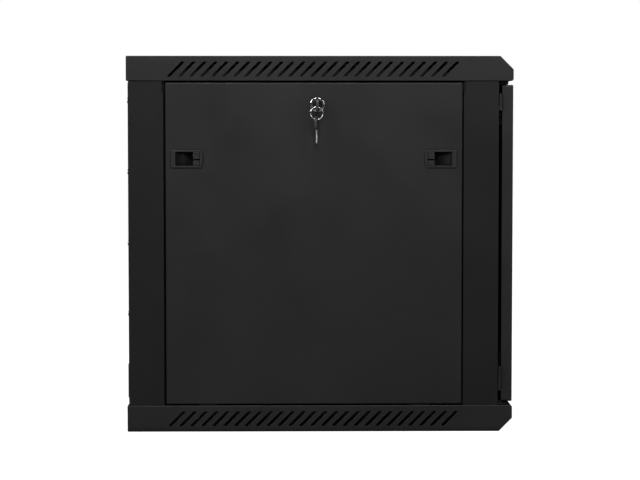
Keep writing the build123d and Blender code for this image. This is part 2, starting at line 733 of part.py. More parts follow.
def key_blade():
    """A key's steel part in the XY plane: tang, shoulder and cut blade, with the tip towards +X."""
    tang_length, tang_width = KEY_TANG
    shoulder_x = key_tip_x()
    tip_x = shoulder_x + KEY_BLADE[0]
    half = KEY_BLADE[1] / 2
    span_z = (-KEY_T / 2, KEY_T / 2)
    tang = block((KEY_HEAD[0] - tang_length, KEY_HEAD[0]), (-tang_width / 2, tang_width / 2), span_z)
    shoulder = block((KEY_HEAD[0], shoulder_x), (-KEY_SHOULDER[1] / 2, KEY_SHOULDER[1] / 2), span_z)
    outline = [
        (shoulder_x, -half),
        (tip_x - KEY_TIP, -half),
        (tip_x, KEY_TIP - half),
        (tip_x - 1, half),
        (shoulder_x, half),
    ]
    blade = extrude(make_face(Polyline(*outline, close=True)), amount=KEY_T / 2, both=True)
    for i, depth in enumerate(KEY_CUTS):
        x = shoulder_x + KEY_CUT_START + KEY_CUT_PITCH * i
        blade -= Pos(x, half, 0) * Rot(0, 0, 45) * Box(depth * 1.2, depth * 1.2, KEY_T * 2)
    groove = block((shoulder_x, tip_x + 1), KEY_GROOVE_Y, (KEY_T / 2 - KEY_GROOVE_DEPTH, KEY_T))
    return tang + shoulder + blade - groove


def key_head():
    """A key's plastic head in the XY plane: it starts at x 0, is moulded round the tang and has an eye."""
    length, width = KEY_HEAD
    outline = Pos(length / 2, 0) * RectangleRounded(length, width, KEY_HEAD_CORNER)
    head = extrude(outline, amount=KEY_HEAD_T / 2, both=True)
    faces = head.faces().sort_by(Axis.Z)
    head = fillet(faces[0].edges() + faces[-1].edges(), 1.2)
    eye = Pos(KEY_EYE_INSET, 0) * Rot(0, 0, 90) * SlotOverall(KEY_EYE[1], KEY_EYE[0])
    tang_length, tang_width = KEY_TANG
    span_y = (-tang_width / 2, tang_width / 2)
    tang = block((length - tang_length, length + 1), span_y, (-KEY_T / 2, KEY_T / 2))
    return head - extrude(eye, amount=KEY_HEAD_T, both=True) - tang


def key_tip_x():
    """Length of the key's head and shoulder, which stay outside the lock."""
    return KEY_HEAD[0] + KEY_SHOULDER[0]


def inserted_key_plane():
    """Where the key in the left lock lies, its head standing upright."""
    return Plane(
        origin=(-PANEL_X - KEY_SEAT - key_tip_x(), PANEL_LOCK_Y, PANEL_LOCK_Z),
        x_dir=(1, 0, 0),
        z_dir=(0, -1, 0),
    )


def ring_centre():
    """The ring hangs by its wire in the lower end of the upright key's eye, a little to its rear."""
    x = -PANEL_X - KEY_SEAT - key_tip_x() + KEY_EYE_INSET
    wire_z = PANEL_LOCK_Z - KEY_EYE[1] / 2 + RING_WIRE_R + RING_PLAY
    return (x, PANEL_LOCK_Y + RING_SHIFT, wire_z - RING_R)


def key_ring():
    """A split ring: a closed round coil of wire, lying across the key's eye."""
    return Pos(*ring_centre()) * Rot(0, 90, 0) * Torus(RING_R, RING_WIRE_R)


def spare_key_plane():
    """Where the second key hangs, tip down from the ring and turned a little off edge-on."""
    x, y, z = ring_centre()
    wire_z = z - RING_R
    top = wire_z + RING_WIRE_R + RING_PLAY - KEY_EYE[0] / 2 + KEY_EYE_INSET
    turn = radians(SPARE_TURN)
    return Plane(origin=(x, y, top), x_dir=(0, 0, -1), z_dir=(sin(turn), cos(turn), 0))


def window_z(margin=0.0):
    middle = (DOOR_Z[0] + DOOR_Z[1]) / 2
    return (middle - WINDOW_Z - margin, middle + WINDOW_Z + margin)


def window_x(margin=0.0):
    return (-WINDOW_X - margin, WINDOW_X + margin)


def clip_points():
    """Middle of each glass clip's boss, as (x, z, direction of the glass from it)."""
    x_edge = WINDOW_X + GLASS_LAP + BOSS_R + 2
    low, high = window_z(GLASS_LAP + BOSS_R + 2)
    middle = (low + high) / 2
    points = []
    for rise in SIDE_CLIP_Z:
        points += [(-x_edge, middle + rise, (1, 0)), (x_edge, middle + rise, (-1, 0))]
    for x in END_CLIP_X:
        points += [(x, low, (0, 1)), (x, high, (0, -1))]
    return points


def door_frame():
    """The door: a folded tray with a window, return flanges and threaded bosses for the glass clips."""
    outer = block((-DOOR_X, DOOR_X), DOOR_Y, DOOR_Z)
    outer = fillet(outer.edges().filter_by(Axis.Y), DOOR_BEND * 2)
    outer = fillet(outer.faces().sort_by(Axis.Y)[0].edges(), DOOR_BEND)
    inner = block(
        (-DOOR_X + DOOR_T, DOOR_X - DOOR_T),
        (DOOR_Y[0] + DOOR_T, DOOR_Y[1] - DOOR_T),
        (DOOR_Z[0] + DOOR_T, DOOR_Z[1] - DOOR_T),
    )
    mouth = block(
        (-DOOR_X + DOOR_HINGE_RETURN, DOOR_X - DOOR_RETURN),
        (DOOR_Y[1] - 2 * DOOR_T, DOOR_Y[1] + 1),
        (DOOR_Z[0] + DOOR_RETURN, DOOR_Z[1] - DOOR_RETURN),
    )
    window = rectangle_hole(window_x(), (DOOR_Y[0] - 1, DOOR_Y[0] + 4), window_z(), WINDOW_CORNER, Axis.Y)
    frame = outer - inner - mouth - window
    sheet_back = DOOR_Y[0] + DOOR_T
    for x, z, _ in clip_points():
        frame += rod(BOSS_R, (x, sheet_back, z), (x, clip_y(), z))
        frame -= rod(SMALL_TAP_R, (x, sheet_back + 0.5, z), (x, clip_y() + 1, z))
    return frame - DOOR_LOCK * rod(LOCK_HOLE_R, (0, 0, -4), (0, 0, 4))


def clip_y():
    """The glass's back face, where the clips bear."""
    return DOOR_Y[0] + DOOR_T + SEAL_T + GLASS_T


def glass_seal():
    """The rubber frame between the door's sheet and the glass."""
    y = (DOOR_Y[0] + DOOR_T, DOOR_Y[0] + DOOR_T + SEAL_T)
    outer = block(window_x(SEAL_WIDTH), y, window_z(SEAL_WIDTH))
    through = (y[0] - 1, y[1] + 1)
    return outer - rectangle_hole(
        window_x(SEAL_INSET), through, window_z(SEAL_INSET), WINDOW_CORNER, Axis.Y
    )


def door_glass():
    """The toughened glass pane, with ground edges."""
    pane = block(window_x(GLASS_LAP), (clip_y() - GLASS_T, clip_y()), window_z(GLASS_LAP))
    return chamfer(pane.edges().filter_by(Axis.Y), 2.0)


def glass_clips():
    """Flat steel clips, each bearing on a boss and on the glass."""
    clips = []
    wide, long = CLIP_SIZE
    for x, z, (dx, dz) in clip_points():
        shift = long / 2 - CLIP_REACH
        size_x = long if dx else wide
        size_z = wide if dx else long
        clip = Pos(x + dx * shift, clip_y() + CLIP_T / 2, z + dz * shift) * Box(size_x, CLIP_T, size_z)
        clip = fillet(clip.edges().filter_by(Axis.Y), 3.0)
        clips.append(clip - rod(SMALL_SCREW_R, (x, clip_y() - 1, z), (x, clip_y() + 4, z)))
    return clips


def glass_clip_screws():
    return [bolt((x, clip_y() + CLIP_T, z), (0, -1, 0), 5.0, 1.6, 3.4, 2.0) for x, z, _ in clip_points()]


def knuckle(z, leaf_y):
    """A hinge knuckle over the span z, with its web out to a leaf whose sheet fills leaf_y."""
    barrel = rod(KNUCKLE_R, (PIN_X, PIN_Y, z[0]), (PIN_X, PIN_Y, z[1]))
    web = block((PIN_X, PIN_X + 4), leaf_y, z)
    return barrel + web


def hinge_leaf(heights, knuckle_z, leaf_y):
    """One hinge leaf: a flat plate with a knuckle at its edge."""
    plate = block((PIN_X + 3, LEAF_END_X), leaf_y, (heights[0], heights[2]))
    plate = fillet([e for e in plate.edges().filter_by(Axis.Y) if e.center().X > LEAF_END_X - 1], 3.0)
    bore = rod(PIN_R + 0.05, (PIN_X, PIN_Y, heights[0] - 1), (PIN_X, PIN_Y, heights[2] + 1))
    return plate + knuckle(knuckle_z, leaf_y) - bore


def post_leaf(heights):
    y = (FRONT_POST_Y[0] - LEAF_T, FRONT_POST_Y[0])
    leaf = hinge_leaf(heights, (heights[0], heights[1]), y)
    for x, z in hinge_screw_points():
        leaf -= rod(SMALL_SCREW_R, (x, y[0] - 2, z), (x, y[1] + 2, z))
    return leaf


def door_leaf(heights):
    y = (DOOR_Y[1], DOOR_Y[1] + LEAF_T)
    return hinge_leaf(heights, (heights[1] + HINGE_GAP, heights[2]), y)


def hinge_pins():
    """A pin with a small head under each fixed knuckle."""
    pins = []
    for low, _, high in (LOWER_HINGE_Z, UPPER_HINGE_Z):
        pin = rod(PIN_R, (PIN_X, PIN_Y, low - 0.01), (PIN_X, PIN_Y, high - 2))
        pins.append(pin + rod(KNUCKLE_R, (PIN_X, PIN_Y, low - 1.6), (PIN_X, PIN_Y, low)))
    return pins


def hinge_screws():
    y = FRONT_POST_Y[0] - LEAF_T
    return [bolt((x, y, z), (0, 1, 0), 5.0, 1.6, 3.2, 1.3) for x, z in hinge_screw_points()]


def door_bumpers():
    """Rubber buffers on the right front post, where the door closes."""
    bumpers = []
    for z in BUMPER_Z:
        start = (BUMPER_X, FRONT_POST_Y[0], z)
        bumper = rod(BUMPER_R, start, (BUMPER_X, DOOR_Y[1] + 0.2, z))
        rim = bumper.edges().filter_by(GeomType.CIRCLE).sort_by(Axis.Y)[0]
        bumpers.append(fillet(rim, 1.2))
    return bumpers


def wall_buffers():
    """Rubber strips low on the rear posts, which keep the cabinet's frame off the wall."""
    strip = block(BUFFER_X, BUFFER_Y, BUFFER_Z)
    strip = fillet(strip.edges().filter_by(Axis.Y), 2.0)
    strip = fillet(strip.faces().sort_by(Axis.Y)[-1].edges(), 0.6)
    return [strip, right_hand(strip)]


def draught_strips():
    """Foam strips on the caps' front flanges, above and below the door."""
    upper = block((-STRIP_X, STRIP_X), STRIP_Y, (DOOR_Z[1] + STRIP_CLEARANCE, TOP_CAP_Z))
    lower = block((-STRIP_X, STRIP_X), STRIP_Y, (BOTTOM_CAP_Z, DOOR_Z[0] - STRIP_CLEARANCE))
    upper = fillet(upper.faces().sort_by(Axis.Z)[0].edges().filter_by(Axis.X), 1.5)
    lower = fillet(lower.faces().sort_by(Axis.Z)[-1].edges().filter_by(Axis.X), 1.5)
    return [upper, lower]


def back_panel():
    """The back panel, with wall holes at its corners and the rear cable entry."""
    panel = block((-BACK_X, BACK_X), BACK_Y, BACK_Z)
    panel = fillet(panel.edges().filter_by(Axis.Y), BACK_CORNER)
    through = (BACK_Y[0] - 3, BACK_Y[1] + 3)
    holes = []
    for x in (-WALL_HOLE_X, WALL_HOLE_X):
        for z in WALL_HOLE_Z:
            holes.append(rod(WALL_HOLE_R, (x, through[0], z), (x, through[1], z)))
    for x, z in back_screw_points():
        holes.append(rod(PANEL_SCREW_R, (x, through[0], z), (x, through[1], z)))
    x_span, z_span = GROMMET_HOLE
    holes.append(rectangle_hole(x_span, through, z_span, GROMMET_CORNER, Axis.Y))
    holes.append(rod(EARTH_R + 0.15, (EARTH_X, through[0], EARTH_Z), (EARTH_X, through[1], EARTH_Z)))
    return panel - holes


def rear_cable_grommet():
    """The rubber edging of the rear cable entry, with a groove that grips the sheet."""
    x_span, z_span = GROMMET_HOLE
    lap = GROMMET_LAP

    def grown(amount, y, corner):
        x = (x_span[0] - amount, x_span[1] + amount)
        z = (z_span[0] - amount, z_span[1] + amount)
        return rectangle_hole(x, y, z, corner, Axis.Y)

    body = grown(lap, GROMMET_Y, GROMMET_CORNER + lap)
    body = fillet(body.faces().sort_by(Axis.Y)[-1].edges(), 1.2)
    groove = grown(lap + 2, BACK_Y, GROMMET_CORNER + lap) - grown(0.0, BACK_Y, GROMMET_CORNER)
    return body - groove - grown(-lap, (GROMMET_Y[0] - 1, GROMMET_Y[1] + 1), GROMMET_CORNER - lap)


def back_panel_screws():
    return [bolt((x, BACK_Y[1], z), (0, -1, 0), 6.0, 2.05, 4.2, 1.6) for x, z in back_screw_points()]


def cable_cover(z):
    """The plate that closes a cable entry from inside."""
    half = ENTRY_X + ENTRY_LAP
    span_y = (ENTRY_Y[0] - ENTRY_LAP, ENTRY_Y[1] + ENTRY_LAP)
    plate = rectangle_hole((-half, half), span_y, z, 4, Axis.Z)
    for x, y, _ in entry_screw_points(z[0]):
        plate -= rod(M4_CLEARANCE_R, (x, y, z[0] - 4), (x, y, z[1] + 4))
    return plate


def cable_cover_screws():
    """Screws from inside through the cover plates, ending level with the outer faces."""
    screws = []
    for x, y, z in entry_screw_points(HEIGHT - 2 * CAP_T):
        screws.append(bolt((x, y, z), (0, 0, 1), 2 * CAP_T - 0.2, 2.15, 4.2, 2.0))
    for x, y, z in entry_screw_points(2 * CAP_T):
        screws.append(bolt((x, y, z), (0, 0, -1), 2 * CAP_T - 0.2, 2.15, 4.2, 2.0))
    return screws


def frame_bolts():
    """The bolts and nuts that hold the posts and side rails to both caps."""
    bolts = []
    for points, sheet in ((post_bolt_points, POST_PLATE_T), (side_rail_bolt_points, SIDE_RAIL_T)):
        for point in points(TOP_CAP_Z - sheet):
            bolts += bolted(point, (0, 0, 1), sheet + CAP_T)
        for point in points(BOTTOM_CAP_Z + sheet):
            bolts += bolted(point, (0, 0, -1), sheet + CAP_T)
    return bolts


def rack_rail_bolts():
    grip = RACK_T + SIDE_RAIL_T
    bolts = []
    for side in (-1, 1):
        for y in rack_bolt_y():
            for z in rack_bolt_z():
                point = (side * (SIDE_RAIL_LEG_X - RACK_T), y, z)
                bolts += bolted(point, (side, 0, 0), grip)
    return bolts


def earth_stud():
    """The earthing stud through the back panel, with a nut on each side."""
    x, z = EARTH_X, EARTH_Z
    stud = rod(EARTH_R, (x, BACK_Y[1] + 1.2, z), (x, BACK_Y[0] - 22, z))
    stud += hexagon(5.2, (x, BACK_Y[1], z), (x, BACK_Y[1] + 1.2, z))
    inner = nut((x, BACK_Y[0], z), (0, -1, 0))
    outer = nut((x, BACK_Y[0] - 10, z), (0, -1, 0))
    return [stud, inner, outer]


def main():
    os.makedirs("parts", exist_ok=True)

    save("top_cover", top_cover())
    save("bottom_cover", bottom_cover())

    fronts = front_post()
    rears = rear_post()
    save("front_left_post", fronts)
    save("front_right_post", right_hand(post(FRONT_POST_Y, FRONT_POST_Y[0], post_height())))
    save("rear_left_post", rears)
    save("rear_right_post", right_hand(rears))

    upper = side_rail(TOP_CAP_Z, -1)
    lower = side_rail(BOTTOM_CAP_Z, 1)
    save("upper_left_side_rail", upper)
    save("upper_right_side_rail", right_hand(upper))
    save("lower_left_side_rail", lower)
    save("lower_right_side_rail", right_hand(lower))
    save("frame_bolts", *frame_bolts())

    front_rack = rack_rail(FRONT_RACK_Y, 1)
    rear_rack = rack_rail(REAR_RACK_Y, -1)
    save("front_left_rack_rail", front_rack)
    save("front_right_rack_rail", right_hand(front_rack))
    save("rear_left_rack_rail", rear_rack)
    save("rear_right_rack_rail", right_hand(rear_rack))
    save("rack_rail_bolts", *rack_rail_bolts())

    save("back_panel", back_panel())
    save("back_panel_screws", *back_panel_screws())
    save("rear_cable_grommet", rear_cable_grommet())
    save("top_cable_cover", cable_cover((HEIGHT - 2 * CAP_T, HEIGHT - CAP_T)))
    save("bottom_cable_cover", cable_cover((CAP_T, 2 * CAP_T)))
    save("cable_cover_screws", *cable_cover_screws())
    save("earth_stud", *earth_stud())

    save("hinge_post_leaves", post_leaf(UPPER_HINGE_Z), post_leaf(LOWER_HINGE_Z))
    save("hinge_door_leaves", door_leaf(UPPER_HINGE_Z), door_leaf(LOWER_HINGE_Z))
    save("hinge_pins", *hinge_pins())
    save("hinge_screws", *hinge_screws())
    save("rubber_buffers", *door_bumpers(), *wall_buffers())
    save("door_draught_strips", *draught_strips())

    save("door_frame", door_frame())
    save("door_glass", door_glass())
    save("glass_seal", glass_seal())
    save("glass_clips", *glass_clips())
    save("glass_clip_screws", *glass_clip_screws())
    save("door_lock_barrel", DOOR_LOCK * lock_barrel(DOOR_LOCK_BODY, DOOR_FLANGE_T))
    save("door_lock_nut", DOOR_LOCK * lock_nut())
    save("door_lock_plug", DOOR_LOCK * lock_plug(DOOR_LOCK_BODY, DOOR_FLANGE_T))
    save("door_lock_cam", DOOR_LOCK * lock_cam(DOOR_LOCK_BODY, -90))

    panel = side_panel()
    barrel = LEFT_LOCK * lock_barrel(PANEL_LOCK_BODY, LOCK_FLANGE_T)
    clamp_nut = LEFT_LOCK * lock_nut()
    plug = LEFT_LOCK * lock_plug(PANEL_LOCK_BODY, LOCK_FLANGE_T)
    cam = LEFT_LOCK * lock_cam(PANEL_LOCK_BODY, 0, PANEL_CAM_CRANK)
    housings = {which: latch_housing(which) for which in LATCH_INNER_Y}
    sliders = {which: latch_slider(which) for which in LATCH_INNER_Y}
    save("left_side_panel", panel)
    save("right_side_panel", right_hand(panel))
    save("left_lock_barrel", barrel)
    save("right_lock_barrel", right_hand(barrel))
    save("left_lock_nut", clamp_nut)
    save("right_lock_nut", right_hand(clamp_nut))
    save("left_lock_plug", plug)
    save("right_lock_plug", right_hand(plug))
    save("left_lock_cam", cam)
    save("right_lock_cam", right_hand(cam))
    save("left_front_latch_housing", housings["front"])
    save("left_rear_latch_housing", housings["rear"])
    save("right_latch_housings", *[right_hand(shape) for shape in housings.values()])
    for which, slider in sliders.items():
        save(f"left_{which}_latch_slider", slider)
        save(f"right_{which}_latch_slider", right_hand(slider))
    save("lock_key_blade", inserted_key_plane() * key_blade())
    save("lock_key_head", inserted_key_plane() * key_head())
    save("key_ring", key_ring())
    save("spare_key_blade", spare_key_plane() * key_blade())
    save("spare_key_head", spare_key_plane() * key_head())


main()
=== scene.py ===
import bpy
import bmesh
import json
import math
from mathutils import Matrix, Vector


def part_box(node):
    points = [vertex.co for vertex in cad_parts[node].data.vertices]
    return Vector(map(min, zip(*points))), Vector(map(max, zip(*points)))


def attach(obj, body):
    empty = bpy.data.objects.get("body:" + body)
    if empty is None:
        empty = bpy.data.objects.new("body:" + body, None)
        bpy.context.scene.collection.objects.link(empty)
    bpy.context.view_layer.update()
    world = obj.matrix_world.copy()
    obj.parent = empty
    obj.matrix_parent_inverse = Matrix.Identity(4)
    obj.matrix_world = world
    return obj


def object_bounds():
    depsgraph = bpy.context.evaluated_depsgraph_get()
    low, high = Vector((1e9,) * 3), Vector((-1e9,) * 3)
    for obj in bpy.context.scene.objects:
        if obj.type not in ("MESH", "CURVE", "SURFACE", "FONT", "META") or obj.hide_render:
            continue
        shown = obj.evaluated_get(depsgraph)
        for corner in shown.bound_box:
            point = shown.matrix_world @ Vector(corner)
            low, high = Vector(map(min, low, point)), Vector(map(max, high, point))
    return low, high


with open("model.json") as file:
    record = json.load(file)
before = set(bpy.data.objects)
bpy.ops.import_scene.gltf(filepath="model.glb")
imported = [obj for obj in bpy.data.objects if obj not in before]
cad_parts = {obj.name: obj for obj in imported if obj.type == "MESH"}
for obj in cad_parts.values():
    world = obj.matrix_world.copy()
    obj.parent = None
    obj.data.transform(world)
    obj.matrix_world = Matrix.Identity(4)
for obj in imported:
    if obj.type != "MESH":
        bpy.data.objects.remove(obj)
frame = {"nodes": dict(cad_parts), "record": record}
CAD_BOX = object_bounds()
RECORD = frame["record"]
MM = 0.001

# View of the cabinet's left side: distance from its face, angles off square, lens and sensor,
# and how far above the cabinet's middle the camera aims
CAMERA_DISTANCE = 3.5
CAMERA_YAW = math.radians(0.8)
CAMERA_PITCH = math.radians(3.3)
CAMERA_LENS = 116.7
CAMERA_SENSOR = 36.0
CAMERA_RISE = 7.8 * MM
CAMERA_FAR = 100.0

# Soft boxes behind the camera, as place, power and size, and a dim room
TOP_BOX = ((-3.4, 0.0, 2.2), 70.0, (1.6, 0.8))
LEFT_BOX = ((-1.8, 2.3, 1.9), 64.0, (1.4, 1.4))
RIGHT_BOX = ((-2.6, -2.1, 1.5), 24.0, (0.7, 1.7))
LOW_BOX = ((-1.6, 0.0, 0.08), 0.16, (0.8, 0.05))
FRONT_BOX = ((1.4, -3.2, 2.0), 40.0, (1.8, 1.8))
BACK_BOX = ((2.4, 2.6, 2.2), 40.0, (1.8, 1.8))
LIGHT_TARGET = (-0.3, 0.0, 0.5)
ROOM_TOP = 0.05
ROOM_LEVEL = 0.015
ROOM_FLOOR = 0.005

# Floor: width, gap under the cabinet, diffuse level, and the glow that keeps it pale for the camera
FLOOR_SIZE = 14.0
FLOOR_GAP = 0.2 * MM
FLOOR_LEVEL = 0.25
FLOOR_GLOW = 0.98

# Lock washers: inner and outer radius and height, the share of the height that is rounded over,
# and how thick the flanges over them are
RING_STEPS = 72
GASKET = (12.5 * MM, 13.4 * MM, 0.8 * MM)
GASKET_ROUND = 0.45
GASKET_SHOULDER = 0.3
SIDE_FLANGE = 1.8 * MM
DOOR_FLANGE = 1.0 * MM

# Powder coat: diffuse level, specular level and roughness of the sheets and of the posts; the
# posts' darker copy is painted shade
COAT_LEVEL = 0.0070
COAT_GLOSS = 0.36
COAT_ROUGH = 0.40
POST_SHADED_LEVEL = 0.0060
POST_SHADED_GLOSS = 0.22
POST_ROUGH = 0.43

# Levels along edges: rubbed bare metal on the coat, in patches, which also paints an edge
# highlight; a painted edge highlight on the latch and key plastic
COAT_WORN_AND_HIGHLIGHT = 0.06
LATCH_EDGE_HIGHLIGHT = 0.030
KEY_EDGE_HIGHLIGHT = 0.12

# Other colours
ZINC_BLUE = (0.50, 0.52, 0.55, 1)
ZINC_YELLOW = (0.58, 0.55, 0.46, 1)
CHROME = (0.78, 0.79, 0.80, 1)
NICKEL = (0.90, 0.88, 0.85, 1)
PLUG_BLACK = (0.004, 0.004, 0.005, 1)
PLUG_WORN = (0.05, 0.05, 0.05, 1)
GLASS_TINT = (0.46, 0.49, 0.49, 1)
GLASS_IOR = 1.5
LATCH_LEVEL = 0.006
KEY_HEAD_LEVEL = 0.030
RUBBER_LEVEL = 0.010
RUBBER_DUST = 0.022
HANDLED_SHADE = 0.84

# Samples of the bevel and ambient occlusion nodes
LOOKUPS = 6


class Nodes:
    """A short way to build one material's node tree."""

    def __init__(self, name):
        self.material = bpy.data.materials.new(name)
        self.material.use_nodes = True
        self.tree = self.material.node_tree
        self.tree.nodes.clear()
        self.output = self.add("ShaderNodeOutputMaterial")

    def add(self, kind, **values):
        node = self.tree.nodes.new(kind)
        for key, value in values.items():
            if hasattr(node, key) and key not in node.inputs:
                setattr(node, key, value)
            else:
                self.feed(node.inputs[key.replace("_", " ")], value)
        return node

    def feed(self, socket, value):
        if hasattr(value, "is_output"):
            self.tree.links.new(value, socket)
        else:
            socket.default_value = value

    def place(self):
        return self.add("ShaderNodeTexCoord").outputs["Object"]

    def noise(self, scale, detail=2.0, rough=0.5, stretch=None):
        vector = self.place()
        if stretch:
            mapping = self.add("ShaderNodeMapping")
            mapping.inputs["Scale"].default_value = stretch
            self.feed(mapping.inputs["Vector"], vector)
            vector = mapping.outputs["Vector"]
        node = self.add("ShaderNodeTexNoise", Scale=scale, Detail=detail, Roughness=rough)
        self.feed(node.inputs["Vector"], vector)
        return node.outputs["Fac"]

    def between(self, factor, low, high, start=0.3, end=0.7):
        """Map factor from start..end to low..high."""
        node = self.add("ShaderNodeMapRange")
        limits = {"From Min": start, "From Max": end, "To Min": low, "To Max": high}
        for name, value in limits.items():
            node.inputs[name].default_value = value
        self.feed(node.inputs["Value"], factor)
        return node.outputs["Result"]

    def maths(self, operation, a, b):
        node = self.add("ShaderNodeMath", operation=operation)
        self.feed(node.inputs[0], a)
        self.feed(node.inputs[1], b)
        return node.outputs["Value"]

    def mix(self, factor, a, b):
        node = self.add("ShaderNodeMix", data_type="RGBA")
        self.feed(node.inputs["Factor"], factor)
        self.feed(node.inputs[6], a)
        self.feed(node.inputs[7], b)
        return node.outputs[2]

    def shade(self, colour, amount):
        """colour times amount, as a colour."""
        node = self.add("ShaderNodeVectorMath", operation="SCALE")
        self.feed(node.inputs[0], colour[:3])
        self.feed(node.inputs["Scale"], amount)
        return node.outputs["Vector"]

    def edge_mask(self, radius):
        """1 along sharp edges, 0 on flat faces."""
        bevel = self.add("ShaderNodeBevel", samples=LOOKUPS)
        bevel.inputs["Radius"].default_value = radius
        geometry = self.add("ShaderNodeNewGeometry")
        dot = self.add("ShaderNodeVectorMath", operation="DOT_PRODUCT")
        self.feed(dot.inputs[0], bevel.outputs["Normal"])
        self.feed(dot.inputs[1], geometry.outputs["Normal"])
        return self.between(dot.outputs["Value"], 1.0, 0.0, 0.80, 0.995)

    def painted_shade_in_recesses(self, distance, closed=0.35, clear=0.85):
        """Painted shade: 1 on open faces, down to 0 inside gaps and recesses."""
        node = self.add("ShaderNodeAmbientOcclusion", samples=LOOKUPS)
        node.inputs["Distance"].default_value = distance
        return self.between(node.outputs["AO"], 0.0, 1.0, closed, clear)

    def bump(self, height, distance, strength, normal):
        """Raise the surface by height times distance, over the rounded normal."""
        node = self.add("ShaderNodeBump")
        node.inputs["Strength"].default_value = strength
        node.inputs["Distance"].default_value = distance
        self.feed(node.inputs["Height"], height)
        self.feed(node.inputs["Normal"], normal)
        return node.outputs["Normal"]

    def rounded(self, radius):
        """The normal with edges softened over radius."""
        bevel = self.add("ShaderNodeBevel", samples=LOOKUPS)
        bevel.inputs["Radius"].default_value = radius
        return bevel.outputs["Normal"]

    def finish(self, colour, roughness, normal, metallic=0.0, specular=0.5):
        shader = self.add("ShaderNodeBsdfPrincipled")
        self.feed(shader.inputs["Base Color"], colour)
        self.feed(shader.inputs["Roughness"], roughness)
        shader.inputs["Metallic"].default_value = metallic
        self.feed(shader.inputs["Specular IOR Level"], specular)
        self.feed(shader.inputs["Normal"], normal)
        self.tree.links.new(shader.outputs["BSDF"], self.output.inputs["Surface"])
        return self.material


def rgb(level, warm=0.0):
    """A near-neutral colour."""
    return (level * (1 + warm), level, level * (1 - warm), 1.0)


def powder_coat(name, level, gloss, roughness):
    """Satin black powder coat: fine orange peel, slow drift in tone, faint rubbing at edges that
    also paints an edge highlight, and gloss dimmed in gaps as painted shade.
    """
    n = Nodes(name)
    drift = n.between(n.noise(3.0, 4.0), low=0.88, high=1.12)
    grain = n.between(n.noise(2600.0, 1.0), low=0.94, high=1.06)
    tone = n.maths("MULTIPLY", drift, grain)
    patches = n.between(n.noise(160.0, 4.0, 0.65), low=0.0, high=0.5, start=0.42, end=0.75)
    # Edges lighten in random patches: rubbed coat, and also a painted edge highlight.
    worn_and_highlight = n.maths("MULTIPLY", n.edge_mask(radius=0.9 * MM), patches)
    colour = n.mix(worn_and_highlight, n.shade(rgb(level, warm=0.01), tone), rgb(COAT_WORN_AND_HIGHLIGHT))
    smudge = n.between(n.noise(9.0, 5.0, 0.6), low=-0.04, high=0.05)
    fine = n.between(n.noise(1400.0, 2.0), low=-0.02, high=0.02)
    rough = n.maths("ADD", n.maths("ADD", smudge, fine), roughness)
    orange_peel = n.noise(750.0, 2.0, 0.45)
    normal = n.bump(orange_peel, 0.05 * MM, 0.55, n.rounded(0.35 * MM))
    # Gloss dimmed inside gaps and recesses: painted shade.
    gloss_with_painted_shade = n.maths("MULTIPLY", n.painted_shade_in_recesses(distance=14 * MM), gloss)
    return n.finish(colour, rough, normal, specular=gloss_with_painted_shade)


def zinc_plate():
    """Bright zinc with a faint blue-yellow passivation and drawn lines."""
    n = Nodes("zinc_plate")
    bloom = n.between(n.noise(60.0, 3.0), low=0.0, high=1.0)
    colour = n.mix(bloom, ZINC_BLUE, ZINC_YELLOW)
    rough = n.between(n.noise(420.0, 3.0), low=0.24, high=0.42)
    normal = n.bump(n.noise(1500.0, 2.0), 0.02 * MM, 0.5, n.rounded(0.25 * MM))
    return n.finish(colour, rough, normal, metallic=1.0)


def chrome(name, colour, low, high):
    """Plated metal with fine scratches and handled patches."""
    n = Nodes(name)
    scratch = n.noise(900.0, 4.0, 0.7, stretch=(1.0, 1.0, 14.0))
    patches = n.between(n.noise(140.0, 4.0), low, high)
    scratched = n.between(scratch, low=0.0, high=0.05, start=0.55, end=0.75)
    rough = n.maths("ADD", patches, scratched)
    handled = tuple(channel * HANDLED_SHADE for channel in colour[:3]) + (1,)
    tint = n.mix(n.between(n.noise(90.0, 3.0), low=0.0, high=1.0), colour, handled)
    normal = n.bump(scratch, 0.012 * MM, 0.35, n.rounded(0.25 * MM))
    return n.finish(tint, rough, normal, metallic=1.0)


def lock_dark():
    """The lock's dark die-cast plug, burnished where the key rubs."""
    n = Nodes("lock_dark")
    patches = n.between(n.noise(500.0, 3.0), low=0.2, high=0.9)
    edge_rub_and_highlight = n.maths("MULTIPLY", n.edge_mask(radius=0.5 * MM), patches)
    colour = n.mix(edge_rub_and_highlight, PLUG_BLACK, PLUG_WORN)
    rough = n.between(n.noise(700.0, 3.0), low=0.28, high=0.42)
    normal = n.bump(n.noise(1300.0, 2.0), 0.02 * MM, 0.5, n.rounded(0.2 * MM))
    return n.finish(colour, rough, normal, specular=0.18)


def latch_plastic():
    """Moulded black nylon with a fine spark-eroded grain, a painted highlight along its edges and
    painted shade that dims its gloss in recesses.
    """
    n = Nodes("latch_plastic")
    tone = n.between(n.noise(40.0, 3.0), low=0.85, high=1.15)
    # Every edge lightened evenly: a painted edge highlight.
    edge_rub_and_highlight = n.maths("MULTIPLY", n.edge_mask(radius=0.7 * MM), 0.5)
    colour = n.mix(edge_rub_and_highlight, n.shade(rgb(LATCH_LEVEL), tone), rgb(LATCH_EDGE_HIGHLIGHT))
    rough = n.maths("ADD", n.between(n.noise(1100.0, 2.0), low=-0.05, high=0.05), 0.40)
    spark_grain = n.noise(2200.0, 2.0, 0.6)
    normal = n.bump(spark_grain, 0.035 * MM, 0.6, n.rounded(0.45 * MM))
    # Gloss dimmed inside the latch mouth and other recesses: painted shade.
    gloss_with_painted_shade = n.maths("MULTIPLY", n.painted_shade_in_recesses(24 * MM, closed=0.50, clear=0.96), 0.46)
    return n.finish(colour, rough, normal, specular=gloss_with_painted_shade)


